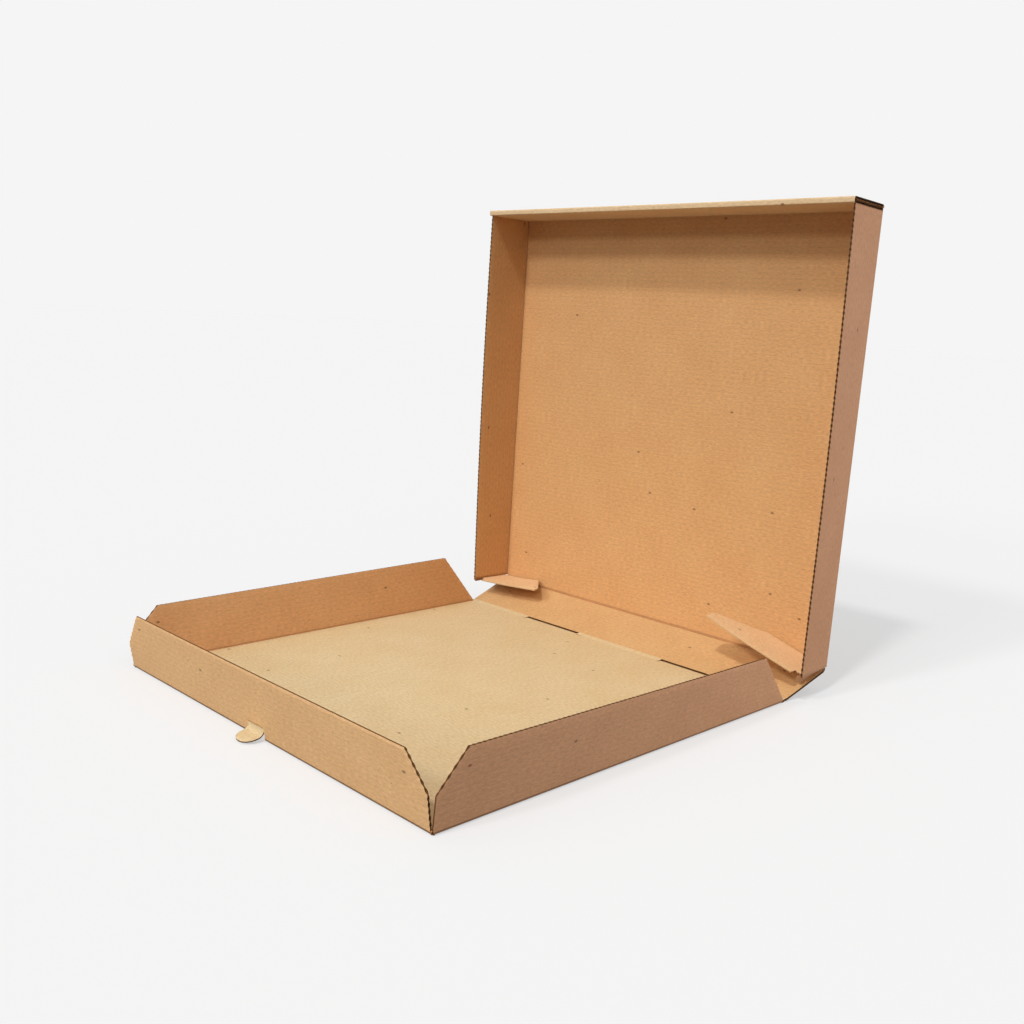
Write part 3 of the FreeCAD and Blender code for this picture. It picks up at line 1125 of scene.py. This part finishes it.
@dataclass
class Lid:
    """Lid panel, its side walls, and its front wall rolled over the corner flaps."""

    root_pinch: float = 0.8
    front_growth: float = 1.2
    free_splay: float = 3.6
    side_bow: float = 2.0
    root_spread: float = 3.0
    forward_lean: float = 1.6
    play: float = 0.2
    roll_power: float = 5.0
    roll_step: float = 0.5
    side_bead_end: float = 1.2
    front_bead_end: float = 0.2

    def flare(self, point: Vector) -> Vector:
        """Shape of the used lid, in the lid's own frame.

        The hinge end is narrower than the front, and the side walls splay towards their
        free edges, the right one at its near end too.

        Args:
            point: Point of the square lid.

        Returns:
            Point of the used lid.
        """
        side = point.x / SIZES.lid_half
        share = point.y / SIZES.lid_length
        depth = point.z / SIZES.lid_depth
        root = -self.root_pinch * (1 - share) + self.front_growth * share
        free = self.free_splay * share + self.side_bow * math.sin(math.pi * min(1.0, share))
        if side > 0:
            free += self.root_spread * max(0.0, 1 - share) ** 2
        forward = self.forward_lean * side * side * share * depth
        return Vector((point.x + side * (root * (1 - depth) + free * depth), point.y,
                       point.z + forward))

    def build_panel(self) -> None:
        """Build the lid's panel."""
        outlines = []
        for setback in (OUTER_SETBACK, INNER_SETBACK):
            side = SIZES.lid_half - setback
            far = SIZES.lid_length - setback
            outlines.append([Corner(-side, setback, cut=False), Corner(side, setback, cut=False),
                             Corner(side, far, cut=False), Corner(-side, far, cut=False)])
        Panel("lid_panel_board", "lid", "lid", Slot.LID, LID_FRAME, outlines[0], outlines[1],
              Finish.LID, self.flare).build()

    def side_frame(self, side: int) -> Matrix:
        """Frame of the fold at the foot of a side wall, within the lid's own frame.

        Args:
            side: -1 on the left, 1 on the right.

        Returns:
            The fold's frame, with x along the fold.
        """
        turn = Matrix.Rotation(math.radians(-90 * side), 4, "Z")
        return Matrix.Translation((side * SIZES.lid_half, 0, 0)) @ turn

    def build_side(self, side: int) -> None:
        """Build one side wall with the bead at its foot.

        Args:
            side: -1 on the left, 1 on the right.
        """
        name = "left" if side < 0 else "right"
        local = self.side_frame(side)
        upright = folded(local, 90)
        far = SIZES.lid_length - 2 * SIZES.roll_radius
        near = SIZES.flap_line

        def stand(point: Vector) -> Vector:
            """Stand the wall up in the used lid."""
            return self.flare(upright @ point)

        def bead(point: Vector) -> Vector:
            """Lay the bead along the wall's foot in the used lid."""
            return self.flare(local @ point)

        outlines = []
        for setback in (OUTER_SETBACK, INNER_SETBACK):
            ends = sorted((-side * near, -side * far))
            corners = [Corner(ends[0], setback, cut=False), Corner(ends[1], setback),
                       Corner(ends[1], SIZES.lid_depth), Corner(ends[0], SIZES.lid_depth)]
            outlines.append(corners)
        Panel(f"lid_{name}_side_board", "lid", "lid", Slot.LID, LID_FRAME, outlines[0], outlines[1],
              Finish.LID, stand, (BOARD.step, 8.0), Flutes.UP).build()
        span = sorted((-side * near, -side * (SIZES.lid_length - self.side_bead_end)))
        Crease(f"lid_{name}_edge", ("lid",), "lid", Slot.LID, LID_FRAME, 90, [tuple(span)],
               Finish.LID_CREASE, warp=bead).build()

    def roll(self, point: Vector) -> Vector:
        """Bend the front wall's blank up, over and down again inside the lid.

        Args:
            point: Point in the flat blank, whose y runs from the panel's fold up the outer face,
                round the roll and down the inner face.

        Returns:
            Point of the used lid.
        """
        radius = SIZES.roll_radius
        straight = SIZES.roll_depth - radius
        centre = SIZES.lid_length - radius
        over = point.y - straight
        turn = min(math.pi, max(0.0, over / radius))
        square = abs(math.cos(turn)) ** self.roll_power + math.sin(turn) ** self.roll_power
        corner = square ** (-1 / self.roll_power) - 1
        arm = radius - point.z + radius * corner * (1 - point.z / BOARD.thickness)
        along = centre + arm * math.cos(turn)
        up = straight + arm * math.sin(turn)
        if over < 0:
            up = point.y
        down = over - math.pi * radius
        if down > 0:
            up = straight - down
        return self.flare(Vector((point.x, along, up)))

    def build_front(self) -> None:
        """Build the rolled front wall and the bead at its foot."""
        half = SIZES.lid_half
        straight = SIZES.roll_depth - SIZES.roll_radius
        reach = 2 * straight + math.pi * SIZES.roll_radius - BOARD.thickness - self.play
        outlines = []
        for setback in (OUTER_SETBACK, INNER_SETBACK):
            outlines.append([Corner(-half, setback, cut=False), Corner(half, setback),
                             Corner(half, reach), Corner(-half, reach)])
        Panel("lid_rolled_front_board", "lid", "lid", Slot.LID, LID_FRAME, outlines[0], outlines[1],
              Finish.ROLL, self.roll, (16.0, self.roll_step), press=0.0).build()
        fold = Matrix.Translation((0, SIZES.lid_length, 0))

        def bead(point: Vector) -> Vector:
            """Lay the bead along the front edge of the used lid."""
            return self.flare(fold @ point)

        Crease("lid_front_edge", ("lid",), "lid", Slot.LID, LID_FRAME, 90,
               [(-half + self.front_bead_end, half - self.front_bead_end)], Finish.CREASE,
               warp=bead).build()

    def build(self) -> None:
        """Build every piece of the lid."""
        self.build_panel()
        self.build_side(-1)
        self.build_side(1)
        self.build_front()


@dataclass
class TuckFlap:
    """Flap at the hinge end of a lid side wall, folded in over the back wall."""

    side: int
    length: float
    back: float
    tip_low: float
    tip_high: float
    fold: float
    curl: float
    far_lift: float
    bulge: float
    gap: float = 3.0
    edge: float = 36.5
    relief_run: float = 4.8
    relief_slope: float = 0.6
    relief_depth: float = 5.4
    curl_start: float = 0.55
    curl_width: float = 0.2
    pinch: float = 0.8
    bead_end: float = 0.5
    upper_low: float = 0.75
    lower_low: float = 0.3

    @property
    def name(self) -> str:
        """Name of the flap's node and body."""
        return "left_tuck_flap" if self.side < 0 else "right_tuck_flap"

    def root(self) -> Matrix:
        """Place of the fold's foot, on the inner face of the lid's side wall."""
        inner = SIZES.lid_half - BOARD.thickness
        return LID_FRAME @ Matrix.Translation((self.side * inner, SIZES.flap_line, 0))

    def frame(self) -> Matrix:
        """Find the flap's own frame.

        Returns:
            Frame with x from the fold to the tip, y across the flap and z through the board.
        """
        turn = self.fold - 90
        angle = turn if self.side < 0 else 180 - turn
        flip = Matrix(((1, 0, 0, 0), (0, 0, self.side, 0), (0, 1, 0, 0), (0, 0, 0, 1)))
        return self.root() @ Matrix.Rotation(math.radians(angle), 4, "Z") @ flip

    def shift(self, across: float) -> float:
        """Distance that the fold stands inwards at a place along it."""
        return self.pinch * (1 - across / self.edge)

    def hinge_frame(self) -> Matrix:
        """Frame of the fold, with x towards the lid's front and y out of the side wall."""
        return self.root() @ Matrix(((0, self.side, 0, 0), (0, 0, 1, 0), (1, 0, 0, 0), (0, 0, 0, 1)))

    def warp(self, point: Vector) -> Vector:
        """Curl the tip and lift the far corner.

        Args:
            point: Point in the flat sheet.

        Returns:
            The bent point.
        """
        share = max(0.0, point.x) / self.length
        across = point.y / self.edge
        curl = self.curl * max(0.0, share - self.curl_start) ** 2 / self.curl_width
        lift = self.far_lift * share ** 2 * (1 - across)
        return Vector((point.x + self.shift(point.y), point.y, point.z - curl - lift))

    def build(self) -> None:
        """Build the flap and the bead at its fold."""
        outlines = []
        for low in (self.upper_low, self.lower_low):
            outlines.append([Corner(low, self.gap), Corner(self.back, self.gap),
                             Corner(self.length, self.tip_low), Corner(self.length, self.tip_high),
                             Corner(self.relief_run + self.relief_slope, self.edge),
                             Corner(self.relief_run, self.edge - self.relief_depth),
                             Corner(low, self.edge - self.relief_depth, cut=False)])
        Panel(self.name + "_board", self.name, self.name, Slot.FLAP, self.frame(), outlines[0],
              outlines[1], Finish.FLAP, self.warp, cell=(4.0, 4.0)).build()
        side = "left" if self.side < 0 else "right"

        def bead(point: Vector) -> Vector:
            """Pinch the bead like the flap, and let it swell towards the free edge."""
            swell = 1 + self.bulge * (point.x / self.edge) ** 2
            return Vector((point.x, point.y * swell - self.shift(point.x), point.z * swell))

        WrappedCrease(f"{side}_flap_fold", ("lid", self.name), self.name, Slot.FLAP, self.hinge_frame(),
                      self.fold, [(self.gap, SIZES.lid_depth - self.bead_end)], Finish.BEAD,
                      warp=bead).build()


@dataclass
class Studio:
    """Pale floor, soft lamps and the camera."""

    floor_half: float = 20.0
    lens_pixels: float = 1097.1
    frame_pixels: float = 1024.0
    sensor: float = 36.0
    azimuth: float = 44.98
    elevation: float = 10.13
    tilt: float = 3.144
    distance: float = 0.7495
    target: tuple[float, float, float] = (-0.01046, 0.05133, 0.10998)
    background: str = "F5F5F5"
    ground: str = "ECECEC"
    bounce: str = "6C6C6C"
    glow_share: float = 0.55
    horizon_light: float = 0.12
    zenith_light: float = 0.72
    # Name, direction from the box, strength and width in degrees of each sun
    suns: tuple[tuple[str, tuple[float, float, float], float, float], ...] = (
        ("key_lamp", (0.12, -0.60, 0.85), 1.25, 5.0),
        ("front_lamp", (-0.10, -0.78, 0.61), 0.95, 8.0),
        ("low_lamp", (0.05, -0.92, 0.37), 0.42, 8.0))
    panel_place: tuple[float, float, float] = (0.8, 0.52, 0.17)
    panel_size: float = 0.6
    panel_power: float = 4.2

    def seen(self, tree: bpy.types.NodeTree) -> bpy.types.NodeSocket:
        """Tell the rays that look at the room from those that light it.

        Args:
            tree: Node tree of the floor or the world.

        Returns:
            Socket that is one for camera rays and for reflections.
        """
        path = add_node(tree, "LightPath")
        return add_node(tree, "Math", {"operation": "MAXIMUM"},
                        {0: path.outputs["Is Camera Ray"],
                         1: path.outputs["Is Glossy Ray"]}).outputs[0]

    def build_floor(self) -> None:
        """Lay a pale floor that the camera sees as the background."""
        plane = bmesh.new()
        bmesh.ops.create_grid(plane, x_segments=1, y_segments=1, size=self.floor_half)
        data = bpy.data.meshes.new("studio_floor")
        plane.to_mesh(data)
        plane.free()
        material = blank_material("studio_white")
        tree = material.node_tree
        seen = self.seen(tree)
        colour = add_node(tree, "Mix",
                          {"data_type": "RGBA", 6: linear(self.bounce), 7: linear(self.ground)},
                          {0: seen})
        paper = add_node(tree, "BsdfDiffuse", {}, {"Color": colour.outputs[2]})
        glow = add_node(tree, "Emission", {"Color": linear(self.background), "Strength": 1.0})
        share = add_node(tree, "Math", {"operation": "MULTIPLY", 1: self.glow_share}, {0: seen})
        both = add_node(tree, "MixShader", {}, {0: share, 1: paper, 2: glow})
        add_node(tree, "OutputMaterial", {}, {"Surface": both})
        data.materials.append(material)
        floor = bpy.data.objects.new("studio_floor", data)
        bpy.context.collection.objects.link(floor)

    def build_world(self) -> None:
        """Fill the room with even light, brighter overhead, and show the background colour."""
        world = bpy.data.worlds.new("studio_room")
        bpy.context.scene.world = world
        world.use_nodes = True
        tree = world.node_tree
        tree.nodes.clear()
        place = add_node(tree, "TexCoord").outputs["Generated"]
        height = add_node(tree, "SeparateXYZ", {}, {0: place}).outputs[2]
        strength = add_node(tree, "MapRange",
                            {"To Min": self.horizon_light, "To Max": self.zenith_light},
                            {"Value": height})
        fill = add_node(tree, "Background", {"Color": (1, 1, 1, 1)}, {"Strength": strength})
        shown = add_node(tree, "Background", {"Color": linear(self.background), "Strength": 1.0})
        both = add_node(tree, "MixShader", {}, {0: self.seen(tree), 1: fill, 2: shown})
        add_node(tree, "OutputWorld", {}, {"Surface": both})

    def hang(self, name: str, lamp: bpy.types.Light, place: Vector,
             towards: Vector) -> bpy.types.Object:
        """Hang a lamp that shines from its place in a direction.

        Args:
            name: Name of the lamp.
            lamp: Its light.
            place: Where it hangs.
            towards: Direction that it shines away from.

        Returns:
            The hung lamp.
        """
        hung = bpy.data.objects.new(name, lamp)
        turn = towards.to_track_quat("Z", "Y").to_matrix().to_4x4()
        hung.matrix_world = Matrix.Translation(place) @ turn
        bpy.context.collection.objects.link(hung)
        return hung

    def build_lamps(self) -> None:
        """Hang the soft lamps: suns, so that the floor is lit evenly, and a panel on the right."""
        for name, towards, strength, width in self.suns:
            sun = bpy.data.lights.new(name, "SUN")
            sun.energy = strength
            sun.angle = math.radians(width)
            self.hang(name, sun, Vector(towards), Vector(towards))
        panel = bpy.data.lights.new("side_lamp", "AREA")
        panel.size = self.panel_size
        panel.energy = self.panel_power
        place = Vector(self.panel_place)
        side = self.hang("side_lamp", panel, place, place)
        # The panel would burn a white patch with a straight edge on the floor
        spared = bpy.data.collections.new("not_lit_by_side_lamp")
        spared.objects.link(bpy.data.objects["studio_floor"])
        spared.collection_objects[0].light_linking.link_state = "EXCLUDE"
        side.light_linking.receiver_collection = spared

    def build_camera(self) -> None:
        """Stand the camera where the box is seen from."""
        turn = math.radians(self.azimuth)
        rise = math.radians(self.elevation)
        back = Vector((math.sin(turn) * math.cos(rise), -math.cos(turn) * math.cos(rise), math.sin(rise)))
        right = Vector((math.cos(turn), math.sin(turn), 0))
        upward = back.cross(right)
        roll = math.radians(self.tilt)
        across = right * math.cos(roll) + upward * math.sin(roll)
        top = upward * math.cos(roll) - right * math.sin(roll)
        camera = bpy.data.cameras.new("camera")
        camera.sensor_width = self.sensor
        camera.lens = self.lens_pixels / self.frame_pixels * self.sensor
        camera.clip_end = 100.0
        camera_object = bpy.data.objects.new("camera", camera)
        turned = Matrix((across, top, back)).transposed().to_4x4()
        camera_object.matrix_world = Matrix.Translation(Vector(self.target) + back * self.distance) @ turned
        bpy.context.collection.objects.link(camera_object)
        bpy.context.scene.camera = camera_object

    def build(self) -> None:
        """Build the studio."""
        bpy.context.scene.view_settings.view_transform = "Standard"
        self.build_floor()
        self.build_world()
        self.build_lamps()
        self.build_camera()


def main() -> None:
    """Build the box and its studio."""
    logging.basicConfig(level=logging.INFO, format="%(message)s")
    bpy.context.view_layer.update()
    Studio().build()
    tray = Tray()
    tray.build()
    BackWall(tray).build()
    Lid().build()
    TuckFlap(-1, length=62.0, back=40.0, tip_low=26.0, tip_high=30.0, fold=92.0,
             curl=0.0, far_lift=5.0, bulge=0.3).build()
    TuckFlap(1, length=80.0, back=46.0, tip_low=25.0, tip_high=36.5, fold=106.0,
             curl=1.5, far_lift=0.0, bulge=1.7).build()


if __name__ == "__main__":
    main()
